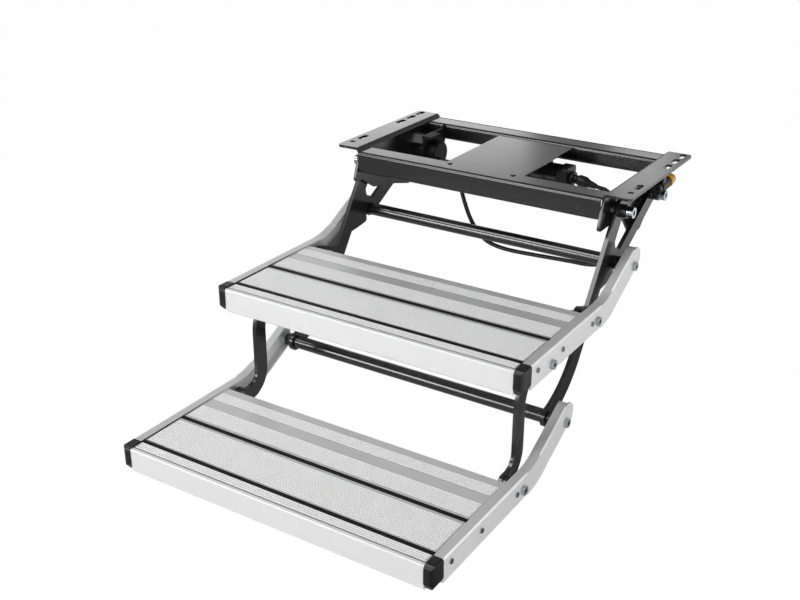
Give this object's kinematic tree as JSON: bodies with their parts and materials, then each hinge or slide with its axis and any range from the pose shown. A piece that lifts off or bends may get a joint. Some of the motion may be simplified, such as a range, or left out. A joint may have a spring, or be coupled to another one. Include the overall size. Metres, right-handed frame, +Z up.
{
  "type": "folding caravan step",
  "caption": "Electric folding double step for a caravan doorway: flanged black steel frame, swinging arms and cross rods, and ribbed aluminium treads with black grip strips.",
  "frame": {"origin": "midway between the two round front mounting holes, in the plane of the flange tops", "axes": "+X to the step's right as seen from in front of the vehicle side, +Y towards the vehicle, +Z up; the treads stand out towards -Y"},
  "size_m": [0.6096, 0.927, 0.4],
  "materials": {
    "black_steel": "satin black powder coat",
    "plated_steel": "bright zinc plate",
    "aluminium": "satin extruded and anodised",
    "grip_rubber": "matt black",
    "black_plastic": "moulded, satin",
    "lead_rubber": "smooth black",
    "yellow_plastic": "moulded yellow"
  },
  "bodies": {
    "frame": {"side_bracket_left": "black_steel", "side_bracket_right": "black_steel", "front_cross_rail": "black_steel", "rear_cross_rail": "black_steel", "cover_plate": "black_steel", "cover_screws": "black_steel", "gear_mount": "black_steel", "gear_case": "black_steel", "gear_bolts": "plated_steel", "drive_motor": "black_steel", "shaft_bush": "black_steel", "control_unit": "black_steel", "control_end_cap": "black_plastic", "unit_saddle": "black_steel", "lead_gland": "lead_rubber", "lead_boot": "lead_rubber", "motor_lead": "lead_rubber", "supply_plug": "black_plastic", "supply_plug_cap": "yellow_plastic", "front_pivot_bolts": "plated_steel", "rear_pivot_bolt": "plated_steel", "arm_washers": "plated_steel"},
    "rear_arms": {"rear_arm_left": "black_steel", "rear_arm_right": "black_steel", "drive_shaft": "plated_steel", "upper_cross_rod": "black_steel"},
    "long_arms": {"long_arm_left": "black_steel", "long_arm_right": "black_steel", "lower_cross_rod": "black_steel"},
    "upper_tread": {"upper_board": "aluminium", "upper_grip_strips": "grip_rubber", "upper_rail_left": "aluminium", "upper_rail_right": "aluminium", "upper_end_caps": "black_plastic", "upper_rail_screws": "plated_steel", "upper_pivot_bolts": "plated_steel"},
    "front_link_left": {"front_link_left": "black_steel"},
    "front_link_right": {"front_link_right": "black_steel"},
    "lower_tread": {"lower_board": "aluminium", "lower_grip_strips": "grip_rubber", "lower_rail_left": "aluminium", "lower_rail_right": "aluminium", "lower_end_caps": "black_plastic", "lower_rail_screws": "plated_steel", "lower_pivot_bolts": "plated_steel"}
  },
  "joints": [
    {"name": "rear_arms_fold", "type": "hinge", "parent": "frame", "child": "rear_arms", "pos_m": [0, 0.174, -0.054], "axis": [1, 0, 0], "range_deg": [0, 141.5], "deforming": ["motor_lead"]},
    {"name": "long_arms_fold", "type": "hinge", "parent": "frame", "child": "long_arms", "pos_m": [0, 0.017, -0.041], "axis": [1, 0, 0], "range_deg": [0, 108]},
    {"name": "upper_tread_fold", "type": "hinge", "parent": "long_arms", "child": "upper_tread", "pos_m": [0, -0.134, -0.185], "axis": [1, 0, 0], "range_deg": [-105.26, 0]},
    {"name": "front_link_left_fold", "type": "hinge", "parent": "upper_tread", "child": "front_link_left", "pos_m": [0, -0.307, -0.19], "axis": [1, 0, 0], "range_deg": [0, 88.29]},
    {"name": "front_link_right_fold", "type": "hinge", "parent": "upper_tread", "child": "front_link_right", "pos_m": [0, -0.307, -0.19], "axis": [1, 0, 0], "range_deg": [0, 88.29]},
    {"name": "lower_tread_fold", "type": "hinge", "parent": "long_arms", "child": "lower_tread", "pos_m": [0, -0.236, -0.33], "axis": [1, 0, 0], "range_deg": [-111.5, 0]}
  ],
  "couplings": [
    {"joint": "long_arms_fold", "follows": "rear_arms_fold", "ratio": 0.76309},
    {"joint": "upper_tread_fold", "follows": "rear_arms_fold", "ratio": -0.7436},
    {"joint": "front_link_left_fold", "follows": "rear_arms_fold", "ratio": 0.62369},
    {"joint": "front_link_right_fold", "follows": "rear_arms_fold", "ratio": 0.62369},
    {"joint": "lower_tread_fold", "follows": "rear_arms_fold", "ratio": -0.78768}
  ]
}
